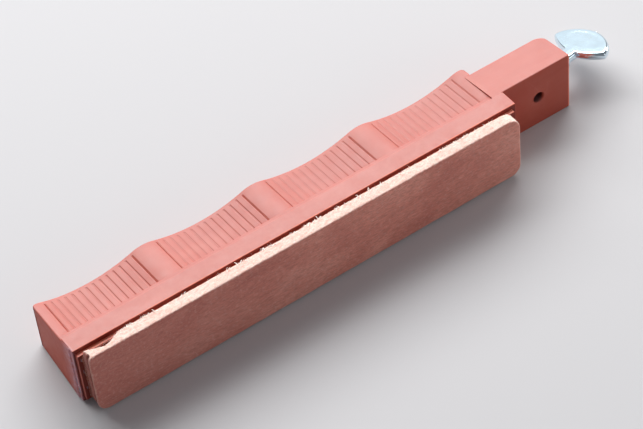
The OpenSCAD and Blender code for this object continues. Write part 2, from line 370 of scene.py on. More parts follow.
def build_leather():
    o = leather_outline()
    n = len(o)
    y0, y1 = LBACK, LBACK - LT
    verts = [(x, y0, z) for x, z in o] + [(x, y1, z) for x, z in o]
    faces = [tuple(range(n)), tuple(range(2 * n - 1, n - 1, -1))]
    faces += [(j, n + j, n + (j + 1) % n, (j + 1) % n) for j in range(n)]
    ob = new_obj("leather_strip", verts, faces, place=False)
    fix_normals(ob.data)
    m = ob.modifiers.new("r", "REMESH")
    m.mode = "VOXEL"
    m.voxel_size = 0.26
    me = evaluated_mesh(ob)
    ob.modifiers.clear()
    ob.data = me
    me.name = "leather_strip"
    bm = bmesh.new()
    bm.from_mesh(me)
    for _ in range(2):
        bmesh.ops.smooth_vert(bm, verts=bm.verts, factor=0.5, use_axis_x=True, use_axis_y=True, use_axis_z=True)
    bm.normal_update()
    lo = Vector([min(v.co[i] for v in bm.verts) for i in range(3)])
    hi = Vector([max(v.co[i] for v in bm.verts) for i in range(3)])
    want_lo, want_hi = Vector((LX0 + 0.05, LBACK - LT + 0.02, LLOW + 0.05)), Vector((LX0 + LLEN - 0.05, LBACK - 0.01, LTOP - 0.05))
    for v in bm.verts:                          # back out to the full outline after the smoothing
        for i in range(3):
            v.co[i] = want_lo[i] + (v.co[i] - lo[i]) * (want_hi[i] - want_lo[i]) / (hi[i] - lo[i])
    bm.normal_update()
    pared = bm.verts.layers.float_color.new("pared")
    for v in bm.verts:
        x, y, z = v.co
        nx, ny, nz = v.normal
        side = max(0.0, 1 - abs(ny))            # 1 on the cut edges, 0 on the faces
        front = max(0.0, -ny)
        d_top = LTOP - z
        d_back = LBACK - y                      # distance in from the flesh side
        # soft rounding of the front face towards its rim
        rim = min(x - LX0, LX0 + LLEN - x, z - LLOW, LTOP - z)
        dx = dy = dz = 0.0
        a, b, r = y - (LBACK - LT), max(rim, 0.0), 0.48 * (1 + 0.25 * n3(x, 0, z, 5.0, 17.0))
        far = math.hypot(r - a, r - b)
        if a < r and b < r and far > r:
            dy += (r - (r - a) * r / far) - a
            inw = (r - (r - b) * r / far) - b
            if rim == LTOP - z:
                dz -= inw
            elif rim == z - LLOW:
                dz += inw
            elif rim == x - LX0:
                dx += inw
            else:
                dx -= inw
        # slow waves in the face, and small hollows from use
        dy += front * (0.035 * n3(x, 0, z, 11, 1.0) + 0.018 * n3(x, 0, z, 3.2, 2.0))
        # cut edges: knife marks, nap, tufts
        a = 0.045 * n3(x, y, z, 2.4, 3.0) + 0.04 * n3(x, y, z, 0.8, 4.0)
        dx += side * nx * a
        dz += side * nz * a
        # butt end: a thin front layer stands out over the body, with a crease between
        if nx < -0.3 and x < LX0 + 0.6:
            d_front = y - (LBACK - LT)
            body = min(1.0, max(0.0, (d_front - 0.50) / 0.14))
            wave = 0.12 * n3(0, 0, z, 2.5, 16.0)
            dx += -nx * (0.16 * body + 0.42 * math.exp(-((d_front - 1.0 - wave) / 0.33) ** 4))
            dx += -nx * 0.06 * n3(0, y, z, 0.5, 15.0) * body
            dx += -nx * 0.08 * math.exp(-((d_front - 2.1 - wave) / 0.12) ** 2)
        # ragged inner edge along the groove
        near = math.exp(-max(d_back, 0) / 0.5) * (1 if nz > 0.2 else 0.5 if nz > -0.2 else 0.7)
        near *= min(1.0, side + 0.35)
        rag = 0.16 * n3(x, 0, 0, 1.1, 5.0) + 0.11 * n3(x, 0, z, 0.45, 6.0) + 0.10 * n3(x, 0, 0, 4.0, 8.0)
        dy -= near * (0.10 + rag)
        if nz > 0.1 or d_top < 1.2:
            dz -= near * (0.10 + 0.12 * n3(x, y, 0, 0.7, 9.0))
        v.co = Vector((x + dx, min(y + dy, LBACK - 0.01), z + dz))
        # corner pared away at the butt end
        p = lerp_table(v.co.x, [1.4, 2.3, 3.2, 4.2, 5.2, 6.0, 6.8, 7.5, 8.2, 9.1, 10.4],
                       [0.30, 0.48, 0.85, 1.25, 1.65, 1.75, 1.55, 1.25, 0.85, 0.45, 0.0])
        mark = 0.0
        if p > 0.01:
            p *= 1 + 0.10 * n3(x, y, z, 0.6, 11.0)
            db, dt = LBACK - v.co.y, LTOP - v.co.z
            q = db / p + dt / (1.5 * p)
            if q < 1:
                s = (1 - q)
                v.co.y -= s * p * 0.45
                v.co.z -= s * 1.5 * p * 0.55
            mark = max(0.0, min(1.0, (1.04 - q) / 0.12)) * min(1.0, p / 0.3)
        v[pared] = (mark, mark, mark, 1.0)
    bmesh.ops.smooth_vert(bm, verts=bm.verts, factor=0.25, use_axis_x=True, use_axis_y=True, use_axis_z=True)
    for f in bm.faces:
        f.smooth = True
    bm.normal_update()
    roots = []
    for v in bm.verts:
        roots.append((v.co.copy(), v.normal.copy()))
    bm.to_mesh(me)
    bm.free()
    me.transform(PLACE)
    return ob, roots


def strand(verts, faces, p, d, length, width, curl, segs=4):
    """A thin three-sided curled fibre from p along d, tapering to its tip."""
    d = d.normalized()
    side = d.orthogonal().normalized()
    turn = rng.uniform(0, 6.283)
    side.rotate(Matrix.Rotation(turn, 3, d))
    base = len(verts)
    pos = p.copy()
    for i in range(segs + 1):
        t = i / segs
        w = width * (1 - 0.75 * t)
        up = d.cross(side).normalized()
        for k in range(3):
            a = 2.094 * k
            verts.append(tuple(pos + side * (w * math.cos(a)) + up * (w * math.sin(a))))
        d = (d + side * curl[0] / segs + up * curl[1] / segs + Vector((rng.gauss(0, .08), rng.gauss(0, .08), rng.gauss(0, .08)))).normalized()
        side = (side - d * side.dot(d)).normalized()
        pos = pos + d * (length / segs)
    for i in range(segs):
        a, b = base + 3 * i, base + 3 * (i + 1)
        for k in range(3):
            kk = (k + 1) % 3
            faces.append((a + k, a + kk, b + kk, b + k))
    faces.append((base + 2, base + 1, base))
    e = base + 3 * segs
    faces.append((e, e + 1, e + 2))


def build_fibres(roots):
    verts, faces = [], []
    top, rim, ends = [], [], []
    for co, no in roots:
        d_back = LBACK - co.y
        if no.z > 0.35 and d_back < 0.55:
            top.append((co, no))
        elif no.z > 0.5:
            rim.append((co, no))
        elif (no.x > 0.4 or no.z < -0.5) and co.x > LX0 + 0.8:
            ends.append((co, no))
    clump = lambda x: max(0.0, n3(x, 0, 0, 3.3, 21.0) + 0.55 * n3(x, 0, 0, 1.0, 22.0))
    # loose fibres that lean out over the groove
    for _ in range(2600):
        co, no = rng.choice(top)
        c = clump(co.x)
        if rng.random() > 0.10 + 1.7 * c:
            continue
        ln = rng.uniform(0.16, 0.40) + (rng.random() ** 3) * 0.8 * (0.3 + c)
        d = Vector((rng.gauss(0, 0.75), rng.uniform(-0.1, 0.75), rng.uniform(0.2, 0.8)))
        thick = rng.uniform(0.04, 0.085) if rng.random() < 0.22 * c + 0.02 else rng.uniform(0.014, 0.03)
        strand(verts, faces, co - no * 0.03, d, ln, thick,
               (rng.gauss(0, 1.8), rng.gauss(0, 1.8)), 5)
    # nap on the cut top edge
    for _ in range(2600):
        co, no = rng.choice(rim)
        d = no + Vector((rng.gauss(0, 0.8), rng.gauss(0, 0.5), 0))
        strand(verts, faces, co - no * 0.02, d, rng.uniform(0.08, 0.26), rng.uniform(0.010, 0.017),
               (rng.gauss(0, 1.2), rng.gauss(0, 1.2)), 3)
    # and, thinner, on the ends and below
    for _ in range(1500):
        co, no = rng.choice(ends)
        d = no + Vector((rng.gauss(0, 0.5), rng.gauss(0, 0.5), rng.gauss(0, 0.5)))
        strand(verts, faces, co - no * 0.02, d, rng.uniform(0.08, 0.24), rng.uniform(0.010, 0.016),
               (rng.gauss(0, 1.2), rng.gauss(0, 1.2)), 3)
    # thick curls of torn nap that stand up over the groove
    at = [(33.5, 3), (36.2, 4), (38.0, 2), (41.5, 3), (44.0, 2), (48.6, 3), (52.6, 5), (54.0, 3), (58.8, 4), (60.4, 3), (63.6, 4),
          (66.5, 5), (68.2, 2), (24.0, 2), (17.5, 2), (73.5, 2), (82.0, 2), (90.5, 1)]
    for xc, k in at:
        for _ in range(k):
            x = xc + rng.gauss(0, 0.45)
            best = min(top, key=lambda q: abs(q[0].x - x) + 0.3 * abs(q[0].z - LTOP))
            d = Vector((rng.gauss(0, 0.9), rng.uniform(-0.2, 0.7), rng.uniform(0.5, 1.2)))
            tube(verts, faces, best[0] - best[1] * 0.08, d, rng.uniform(0.5, 1.15), rng.uniform(0.06, 0.115),
                 (rng.gauss(0, 2.4), rng.gauss(0, 2.4)))
    # torn crumbs of flesh side caught along the groove
    for _ in range(190):
        co, no = rng.choice(top)
        c = clump(co.x)
        if rng.random() > 0.15 + 1.8 * c:
            continue
        crumb(verts, faces, co + Vector((0, rng.uniform(-0.05, 0.18), rng.uniform(-0.04, 0.14))),
              rng.uniform(0.05, 0.12) + 0.16 * c * rng.random())
    # nothing reaches the band's face
    verts = [(v[0], min(v[1], -0.10) if v[1] > -0.5 else v[1], v[2]) for v in verts]
    ob = new_obj("leather_fibres", verts, faces)
    for p in ob.data.polygons:
        p.use_smooth = True
    return ob


def tube(verts, faces, p, d, length, r, curl, segs=7, sides=6):
    """A short thick curl with a rounded, thinner tip."""
    d = d.normalized()
    side = d.orthogonal().normalized()
    base, pos = len(verts), p.copy()
    for i in range(segs + 1):
        t = i / segs
        w = r * (1 - 0.45 * t) * (0.35 if i == segs else 1.0) * rng.uniform(0.8, 1.2)
        up = d.cross(side).normalized()
        for k in range(sides):
            a = 2 * math.pi * k / sides
            verts.append(tuple(pos + side * (w * math.cos(a)) + up * (w * math.sin(a))))
        d = (d + side * curl[0] / segs + up * curl[1] / segs).normalized()
        side = (side - d * side.dot(d)).normalized()
        pos = pos + d * (length / segs)
    for i in range(segs):
        a, b = base + sides * i, base + sides * (i + 1)
        for k in range(sides):
            kk = (k + 1) % sides
            faces.append((a + k, a + kk, b + kk, b + k))
    faces.append(tuple(base + k for k in range(sides - 1, -1, -1)))
    faces.append(tuple(base + sides * segs + k for k in range(sides)))


def crumb(verts, faces, c, r):
    """A small torn lump: a coarse sphere pulled out of shape."""
    base, seg, rows = len(verts), 8, 5
    st = Vector((rng.uniform(0.8, 2.2), rng.uniform(0.5, 1.0), rng.uniform(0.5, 0.9)))
    tilt = Matrix.Rotation(rng.uniform(0, 3.1), 3, Vector((rng.gauss(0, 1), rng.gauss(0, 1), rng.gauss(0, 1))).normalized())
    sd = rng.uniform(0, 90)

    def pt(d):
        k = 1 + 0.65 * noise.noise(d * 1.6 + Vector((sd, sd, 0)))
        q = tilt @ Vector((d.x * st.x, d.y * st.y, d.z * st.z))
        return tuple(c + q * (r * k))
    verts.append(pt(Vector((0, 0, 1))))
    for i in range(1, rows):
        t = math.pi * i / rows
        for j in range(seg):
            a = 2 * math.pi * j / seg
            verts.append(pt(Vector((math.sin(t) * math.cos(a), math.sin(t) * math.sin(a), math.cos(t)))))
    verts.append(pt(Vector((0, 0, -1))))
    last = len(verts) - 1
    for j in range(seg):
        k = (j + 1) % seg
        faces.append((base, base + 1 + j, base + 1 + k))
        e = base + 1 + (rows - 2) * seg
        faces.append((last, e + k, e + j))
    for i in range(rows - 2):
        a, b = base + 1 + i * seg, base + 1 + (i + 1) * seg
        for j in range(seg):
            k = (j + 1) % seg
            faces.append((a + j, b + j, b + k, a + k))


# ---------------------------------------------------------------- cement
def build_cement():
    """Thin film with an uneven rim that reaches further out at the butt end, where it was squeezed out."""
    x0, x1, z0, z1 = 1.62, 100.2, 1.15, 13.35
    loop = []
    nx, nz = 150, 22
    for i in range(nx):
        loop.append((x0 + (x1 - x0) * i / nx, z0, 0, -1))
    for i in range(nz):
        loop.append((x1, z0 + (z1 - z0) * i / nz, 1, 0))
    for i in range(nx):
        loop.append((x1 - (x1 - x0) * i / nx, z1, 0, 1))
    for i in range(nz):
        loop.append((x0, z1 - (z1 - z0) * i / nz, -1, 0))
    ring = []
    for x, z, ax, az in loop:
        w = 0.16 * n3(x, 0, z, 1.6, 31.0) + 0.08 * n3(x, 0, z, 0.5, 32.0)
        if ax < 0:
            w += 0.12
        ring.append((x + ax * w, z + az * w))
    prof = [(0.35, -0.915), (0.06, -0.905), (0.0, -0.945), (0.0, -1.05), (0.06, -1.095), (0.35, -1.085)]
    rings = []
    cx, cz = (x0 + x1) / 2, (z0 + z1) / 2
    for inset, y in prof:
        r = []
        for (x, z), (_, _, ax, az) in zip(ring, loop):
            ix = inset * (1 if x < cx else -1) if ax or abs(x - x0) < 0.6 or abs(x - x1) < 0.6 else 0
            iz = inset * (1 if z < cz else -1)
            r.append((x + ix, y, z + iz))
        rings.append(r)
    v, f = loft(rings)
    ob = new_obj("cement_film", v, f, place=False)
    fix_normals(ob.data)
    ob.data.transform(PLACE)
    sharpen(ob, 60, weighted=False)
    return ob


def build_glue():
    """Dried runs and beads of cement on the butt end: low domes with uneven outlines."""
    verts, faces = [], []

    def dome(c, nrm, ux, r1, r2, h, seed):
        nrm = nrm.normalized()
        ux = (ux - nrm * ux.dot(nrm)).normalized()
        uy = nrm.cross(ux)
        seg, rows = 30, 6
        base = len(verts)
        verts.append(tuple(c + nrm * h))
        for i in range(1, rows + 1):
            t = i / rows
            for j in range(seg):
                a = 2 * math.pi * j / seg
                w = 1 + 0.30 * noise.noise(Vector((math.cos(a) * 1.4 + seed, math.sin(a) * 1.4, seed)))
                rad = math.sin(t * math.pi / 2)
                hh = h * math.cos(t * math.pi / 2) * (1 + 0.25 * noise.noise(Vector((rad * math.cos(a) * 2 + seed, rad * math.sin(a) * 2, 3.0))))
                p = c + ux * (r1 * w * rad * math.cos(a)) + uy * (r2 * w * rad * math.sin(a)) + nrm * (hh if i < rows else -0.02)
                verts.append(tuple(p))
        for j in range(seg):
            faces.append((base, base + 1 + j, base + 1 + (j + 1) % seg))
        for i in range(rows - 1):
            a, b = base + 1 + i * seg, base + 1 + (i + 1) * seg
            for j in range(seg):
                k = (j + 1) % seg
                faces.append((a + j, b + j, b + k, a + k))
        last = base + 1 + (rows - 1) * seg
        faces.append(tuple(last + j for j in range(seg - 1, -1, -1)))

    out = Vector((-1, 0, 0))
    # thin run down the band's end face
    for y, z, r1, r2, h, s in ((2.6, 11.3, 1.05, 1.75, 0.030, 1.1), (1.9, 8.4, 0.85, 2.0, 0.026, 2.3),
                               (1.2, 5.3, 0.65, 1.7, 0.022, 3.7), (3.3, 13.0, 0.5, 0.7, 0.03, 4.1),
                               (0.75, 2.9, 0.45, 1.0, 0.02, 5.9)):
        dome(Vector((BAND_X0, y, z)), out, Vector((0, 1, 0)), r1, r2, h, s)
    # small beads
    for y, z, r, h, s in ((2.9, 9.6, 0.30, 0.15, 7.0), (2.35, 9.15, 0.17, 0.10, 8.0), (3.35, 10.2, 0.14, 0.07, 9.0),
                          (1.6, 6.6, 0.15, 0.08, 10.0), (2.2, 12.2, 0.12, 0.06, 11.0), (1.1, 4.2, 0.1, 0.05, 12.0)):
        dome(Vector((BAND_X0, y, z)), out, Vector((0, 1, 0.3)), r, r * 1.25, h, s)
    # squeeze-out between pad and leather, seen on the step at the butt end
    for x, z, r1, r2, h, s in ((1.28, 12.3, 0.13, 0.5, 0.08, 13.0), (1.32, 8.9, 0.10, 0.6, 0.06, 14.0),
                               (1.27, 4.3, 0.12, 0.5, 0.07, 15.0)):
        dome(Vector((x, -PAD, z)), Vector((0, -1, 0)), Vector((1, 0, 0)), r1, r2, h, s)
    ob = new_obj("glue_runs", verts, faces)
    sharpen(ob, 70, weighted=False)
    return ob


# ---------------------------------------------------------------- thumbscrew
def build_stud():
    tip, end = -STUD_IN, NECK + SOCKET - 0.2
    R = STUD_R - 0.01
    seg, per = 40, 12
    n = int((end - tip) / PITCH * per)
    rings = []
    for i in range(n + 1):
        x = tip + (end - tip) * i / n
        ring = []
        for j in range(seg):
            a = 2 * math.pi * j / seg
            ph = ((x - tip) / PITCH - j / seg) % 1.0
            tri = abs(2 * ph - 1)                       # 1 at the root, 0 at the crest
            cut = max(0.0, min(1.0, (tri - 0.12) / 0.76))
            fade = min(1.0, max(0.0, (NECK - 0.25 - x) / 0.5))
            r = R - 0.40 * cut * fade
            if x - tip < 0.55:                          # lead-in chamfer
                r = min(r, R - 0.5 + (x - tip) * 0.9)
            ring.append((x, r * math.cos(a), r * math.sin(a)))
        rings.append(ring)
    v, f = loft(rings)
    ob = new_obj("screw_thread", v, f, place=False)
    fix_normals(ob.data)
    ob.data.transform(PLACE @ SCREW)
    sharpen(ob, 50, weighted=False)
    return ob


HEAD_W, REACH, HEAD_T, HUB = 14.4, 12.88, 1.96, STUD_R + 0.32
ROOT_U, ROOT_W, SH_U, ROUND, NEAR = 4.95, 1.7, 7.8, 1.81, 1.3


def smin(a, b, k):
    h = max(0.0, min(1.0, 0.5 + 0.5 * (b - a) / k))
    return b * (1 - h) + a * h - k * h * (1 - h)


def hub_r(u):
    if u < NECK + 0.25:
        return HUB - 0.25 + math.sqrt(max(0.0, 0.0625 - (NECK + 0.25 - u) ** 2))
    if u <= 2.75:
        return HUB
    return max(0.0, HUB - 1.3 * (u - 2.75) / 0.8)


def spade_half(u):
    if u <= ROOT_U:
        return max(ROOT_W if u > 2.4 else 0.0, hub_r(u))
    if u < SH_U:
        t = (SH_U - u) / (SH_U - ROOT_U)
        return ROOT_W + (HEAD_W / 2 - ROOT_W) * (1 - t ** NEAR) ** (1 / NEAR)
    return HEAD_W / 2 * max(0.0, 1 - ((u - SH_U) / (REACH - SH_U)) ** ROUND) ** (1 / ROUND)


def build_head():
    us = [NECK, NECK + 0.02, NECK + 0.07, NECK + 0.14, NECK + 0.25, NECK + 0.6, 2.3, 2.55, 2.75, 2.76]
    us += list(np.linspace(2.85, ROOT_U, 16)) + [ROOT_U + 0.03, ROOT_U + 0.09]
    us += list(np.linspace(ROOT_U + 0.16, SH_U + 0.2, 34))
    us += [SH_U + 0.2 + (REACH - SH_U - 0.2) * math.sin(math.radians(a)) for a in np.linspace(3, 90, 44)]
    nw = 48
    ou = np.linspace(2.4, REACH, 700)
    ow = np.array([spade_half(u) for u in ou])

    def edge_dist(u, w):
        return float(np.sqrt(np.min((ou - u) ** 2 + (ow - abs(w)) ** 2)))

    def height(u, w):
        plate = 0.0
        if u > 2.5:
            d = edge_dist(u, w)
            t = min(d / 0.62, 1.0)
            plate = HEAD_T / 2 * math.sqrt(max(0.0, 1 - (1 - t) ** 2.4))
            plate *= 0.90 + 0.10 * min(d / 2.6, 1.0)
            # shallow oval panel in the middle, with a soft raised edge
            q = ((u - 9.3) / 2.3) ** 2 + (w / 4.1) ** 2
            plate -= 0.075 / (1 + math.exp((q - 1) * 11))
        rh = hub_r(u)
        hub = math.sqrt(max(0.0, rh * rh - w * w)) if abs(w) < rh else 0.0
        if hub <= 0:
            return plate
        if plate <= 0:
            return hub
        return -smin(-plate, -hub, 0.35)

    verts, faces, top, bot = [], [], [], []
    for u in us:
        W = spade_half(u)
        rt, rb = [], []
        for j in range(nw + 1):
            w = W * -math.cos(math.pi * j / nw)
            z = 0.0 if j in (0, nw) or W < 1e-4 else height(u, w)
            verts.append((u, w, z))
            rt.append(len(verts) - 1)
            if j in (0, nw):
                rb.append(len(verts) - 1)
            else:
                verts.append((u, w, -z))
                rb.append(len(verts) - 1)
        top.append(rt)
        bot.append(rb)
    for i in range(len(us) - 1):
        for j in range(nw):
            faces.append((top[i][j], top[i][j + 1], top[i + 1][j + 1], top[i + 1][j]))
            faces.append((bot[i][j], bot[i + 1][j], bot[i + 1][j + 1], bot[i][j + 1]))
    faces.append(tuple(top[0][::-1] + bot[0][1:-1]))
    me = bpy.data.meshes.new("spade_head")
    me.from_pydata(verts, [], faces)
    bm = bmesh.new()
    bm.from_mesh(me)
    bmesh.ops.remove_doubles(bm, verts=bm.verts, dist=0.0008)
    bmesh.ops.dissolve_degenerate(bm, edges=bm.edges, dist=0.0005)
    bmesh.ops.recalc_face_normals(bm, faces=bm.faces)
    bm.to_mesh(me)
    bm.free()
    ob = bpy.data.objects.new("spade_head", me)
    bpy.context.scene.collection.objects.link(ob)
    b = STUD_R + 0.05
    bore = cyl_mesh("socket", [(NECK - 1, b + 0.2), (NECK, b + 0.17), (NECK + 0.18, b), (NECK + SOCKET - 0.02, b)], "X", (0, 0, 0), 56)
    boolean(ob, [(bore, "DIFFERENCE")])
    ob.data.name = "spade_head"
    ob.data.transform(PLACE @ SCREW @ Matrix.Rotation(math.radians(S_TURN), 4, "X"))
    sharpen(ob, 42, weighted=False)
    return ob


# ---------------------------------------------------------------- materials
def srgb(r, g, b):
    f = lambda c: (c / 255) / 12.92 if c / 255 <= 0.04045 else ((c / 255 + 0.055) / 1.055) ** 2.4
    return (f(r), f(g), f(b), 1.0)


class Mat:
    def __init__(self, name):
        self.m = bpy.data.materials.new(name)
        self.m.use_nodes = True
        self.t = self.m.node_tree
        self.t.nodes.clear()
        self.out = self.n("ShaderNodeOutputMaterial")
        self.b = self.n("ShaderNodeBsdfPrincipled")
        self.link(self.b.outputs[0], self.out.inputs[0])
        co = self.n("ShaderNodeTexCoord")
        # design frame in millimetres
        mp = self.n("ShaderNodeMapping")
        mp.vector_type = "POINT"
        inv = PLACE.inverted()
        mp.inputs["Location"].default_value = inv.to_translation()
        mp.inputs["Rotation"].default_value = inv.to_euler()
        mp.inputs["Scale"].default_value = (1000, 1000, 1000)
        self.link(co.outputs["Object"], mp.inputs["Vector"])
        self.p = mp.outputs[0]

    def n(self, kind, **kw):
        node = self.t.nodes.new(kind)
        for k, v in kw.items():
            setattr(node, k, v)
        return node

    def link(self, a, b):
        self.t.links.new(a, b)

    def set(self, **kw):
        for k, v in kw.items():
            self.b.inputs[k.replace("_", " ")].default_value = v

    def stretch(self, sx, sy, sz):
        v = self.n("ShaderNodeVectorMath", operation="MULTIPLY")
        self.link(self.p, v.inputs[0])
        v.inputs[1].default_value = (sx, sy, sz)
        return v.outputs[0]

    def noise(self, scale, detail=4, rough=0.55, vec=None, dist=0.0):
        nz = self.n("ShaderNodeTexNoise")
        nz.inputs["Scale"].default_value = scale
        nz.inputs["Detail"].default_value = detail
        nz.inputs["Roughness"].default_value = rough
        nz.inputs["Distortion"].default_value = dist
        self.link(vec if vec else self.p, nz.inputs["Vector"])
        return nz.outputs["Fac"]

    def voronoi(self, scale, vec=None, feature="F1"):
        v = self.n("ShaderNodeTexVoronoi", feature=feature)
        v.inputs["Scale"].default_value = scale
        self.link(vec if vec else self.p, v.inputs["Vector"])
        return v.outputs["Distance"]

    def ramp(self, fac, stops, interp="LINEAR"):
        r = self.n("ShaderNodeValToRGB")
        r.color_ramp.interpolation = interp
        els = r.color_ramp.elements
        while len(els) > 1:
            els.remove(els[-1])
        els[0].position, els[0].color = stops[0][0], stops[0][1]
        for pos, col in stops[1:]:
            e = els.new(pos)
            e.color = col
        self.link(fac, r.inputs[0])
        return r.outputs[0]

    def grey(self, fac, lo, hi, p0=0.0, p1=1.0):
        m = self.n("ShaderNodeMapRange")
        m.inputs["From Min"].default_value = p0
        m.inputs["From Max"].default_value = p1
        m.inputs["To Min"].default_value = lo
        m.inputs["To Max"].default_value = hi
        self.link(fac, m.inputs["Value"])
        return m.outputs[0]

    def math(self, op, a, b=None, c=None):
        m = self.n("ShaderNodeMath", operation=op)
        for i, v in enumerate((a, b, c)):
            if v is None:
                continue
            if isinstance(v, (int, float)):
                m.inputs[i].default_value = v
            else:
                self.link(v, m.inputs[i])
        return m.outputs[0]

    def mix(self, fac, a, b, mode="MIX"):
        m = self.n("ShaderNodeMix", data_type="RGBA", blend_type=mode)
        for sock, v in ((m.inputs[0], fac), (m.inputs[6], a), (m.inputs[7], b)):
            if isinstance(v, (int, float)):
                sock.default_value = v
            elif isinstance(v, tuple):
                sock.default_value = v
            else:
                self.link(v, sock)
        return m.outputs[2]

    def xyz(self, vec=None):
        s = self.n("ShaderNodeSeparateXYZ")
        self.link(vec if vec else self.p, s.inputs[0])
        return s.outputs[0], s.outputs[1], s.outputs[2]

    def normal_local(self):
        """Surface normal in the design frame."""
        g = self.n("ShaderNodeNewGeometry")
        r = self.n("ShaderNodeVectorRotate", rotation_type="X_AXIS")
        r.inputs["Angle"].default_value = LEAN
        tr = self.n("ShaderNodeVectorTransform", vector_type="NORMAL", convert_from="WORLD", convert_to="OBJECT")
        self.link(g.outputs["Normal"], tr.inputs[0])
        self.link(tr.outputs[0], r.inputs["Vector"])
        return self.xyz(r.outputs[0])

    def bumps(self, layers):
        """layers: (height, strength, distance in mm)"""
        prev = None
        for h, s, d in layers:
            b = self.n("ShaderNodeBump")
            b.inputs["Strength"].default_value = s
            b.inputs["Distance"].default_value = d * 0.001
            self.link(h, b.inputs["Height"])
            if prev is not None:
                self.link(prev, b.inputs["Normal"])
            prev = b.outputs[0]
        self.link(prev, self.b.inputs["Normal"])


def plastic_material():
    m = Mat("terracotta_plastic")
    base, dark, lite = srgb(178, 83, 67), srgb(173, 78, 63), srgb(183, 89, 73)
    flow = m.noise(0.09, 3, 0.6, m.stretch(0.35, 1.6, 1.6), 0.4)
    col = m.ramp(flow, [(0.3, dark), (0.5, base), (0.72, lite)])
    speck = m.noise(3.2, 2, 0.5)
    col = m.mix(m.grey(speck, 0.0, 0.10, 0.35, 0.75), col, lite)
    # paler convex edges: partly wear, partly a painted highlight
    geo = m.n("ShaderNodeNewGeometry")
    edge = m.grey(geo.outputs["Pointiness"], 0.0, 1.0, 0.515, 0.60)
    wear_and_highlight = m.math("MULTIPLY", edge, m.grey(m.noise(1.1, 4, 0.6), 0.15, 0.75, 0.35, 0.7))
    col = m.mix(m.math("MULTIPLY", wear_and_highlight, 0.42), col, srgb(214, 138, 122))
    # painted shade darkens the concave creases and grooves
    pit_shade = m.grey(geo.outputs["Pointiness"], 1.0, 0.0, 0.40, 0.488)
    col = m.mix(m.math("MULTIPLY", pit_shade, 0.22), col, srgb(104, 34, 26))
    # milky lilac film near the leather at the butt end: partly dried cement, partly a painted sheen of the light
    x, y, z = m.xyz()
    fx = m.grey(x, 1.0, 0.0, 0.3, 0.75)
    fy = m.grey(m.math("ADD", y, m.math("MULTIPLY", m.noise(0.55, 3, 0.6), 2.6)), 1.0, 0.0, 2.4, 5.4)
    cement_and_sheen = m.math("MULTIPLY", m.math("MULTIPLY", fx, fy), m.grey(m.noise(0.9, 5, 0.65), 0.25, 1.0, 0.35, 0.65))
    col = m.mix(m.math("MULTIPLY", cement_and_sheen, 0.62), col, srgb(196, 170, 188))
    # painted shade inside the guide-rod hole
    hx, hz = m.math("SUBTRACT", x, ROD_X), m.math("SUBTRACT", z, MID)
    rr = m.math("SQRT", m.math("ADD", m.math("MULTIPLY", hx, hx), m.math("MULTIPLY", hz, hz)))
    hole_shade = m.math("MULTIPLY", m.grey(rr, 1.0, 0.0, 1.3, 1.4), m.grey(y, 0.0, 1.0, BAND_D + 0.2, BAND_D + 0.8))
    hole_shade = m.math("MULTIPLY", hole_shade, m.grey(y, 1.0, 0.0, BAND_D + 8.1, BAND_D + 8.4))
    col = m.mix(m.math("MULTIPLY", hole_shade, 0.9), col, srgb(58, 10, 5))
    # painted glow on the tab's outer edge, standing in for light that comes through the thin plastic
    edge_glow = m.math("MULTIPLY", m.grey(x, 0.0, 1.0, TAB_END - 0.50, TAB_END - 0.22), m.grey(y, 1.0, 0.0, BAND_D + 0.2, BAND_D + 0.6))
    col = m.mix(m.math("MULTIPLY", edge_glow, 0.75), col, srgb(246, 130, 90))
    # the band's edge along the groove: a painted highlight on the lip and painted shade on the faces below it, towards
    # the leather
    nx, ny, nz = m.normal_local()
    # a faint painted sheen on the faces that look up or down
    painted_sheen = m.grey(m.math("ABSOLUTE", nz), 0.0, 0.13, 0.55, 0.92)
    col = m.mix(painted_sheen, col, srgb(214, 168, 168))
    # painted orange highlight along the lip
    lip = m.math("MULTIPLY", m.grey(y, 1.0, 0.0, 0.10, 0.40), m.grey(nz, 0.0, 1.0, 0.35, 0.65))
    lip = m.math("MULTIPLY", lip, m.grey(m.noise(0.5, 3, 0.6), 0.25, 0.85, 0.35, 0.65))
    col = m.mix(lip, col, srgb(240, 124, 90))
    # painted shade on faces that look toward the leather
    shade = m.math("MULTIPLY", m.grey(ny, 1.0, 0.0, -0.8, -0.45), m.grey(y, 1.0, 0.0, 0.12, 0.30))
    col = m.mix(m.math("MULTIPLY", shade, 0.72), col, srgb(86, 18, 8))
    m.link(col, m.b.inputs["Base Color"])
    # hand-polished on the sides, duller on the moulded faces between
    sheen = m.grey(m.math("ABSOLUTE", nz), 0.22, 0.85, 0.30, 1.0)
    m.link(sheen, m.b.inputs["Specular IOR Level"])
    r0 = m.grey(m.noise(0.7, 5, 0.6), 0.50, 0.58, 0.3, 0.7)
    smudge = m.grey(m.noise(0.16, 2, 0.5, None, 1.2), -0.02, 0.03, 0.35, 0.65)
    rough = m.math("ADD", r0, smudge)
    m.link(rough, m.b.inputs["Roughness"])
    m.set(IOR=1.5, Subsurface_Weight=0.32, Subsurface_Scale=0.0010)
    m.b.inputs["Subsurface Radius"].default_value = (1.0, 0.35, 0.22)
    fine = m.noise(9.0, 3, 0.6)
    orange = m.noise(1.9, 2, 0.5)
    scr = m.voronoi(0.55, m.stretch(0.18, 1.0, 1.0), "DISTANCE_TO_EDGE")
    scratch = m.grey(scr, 0.0, 1.0, 0.0, 0.012)
    m.bumps([(orange, 0.10, 0.05), (fine, 0.16, 0.02), (scratch, 0.10, 0.012)])
    return m.m


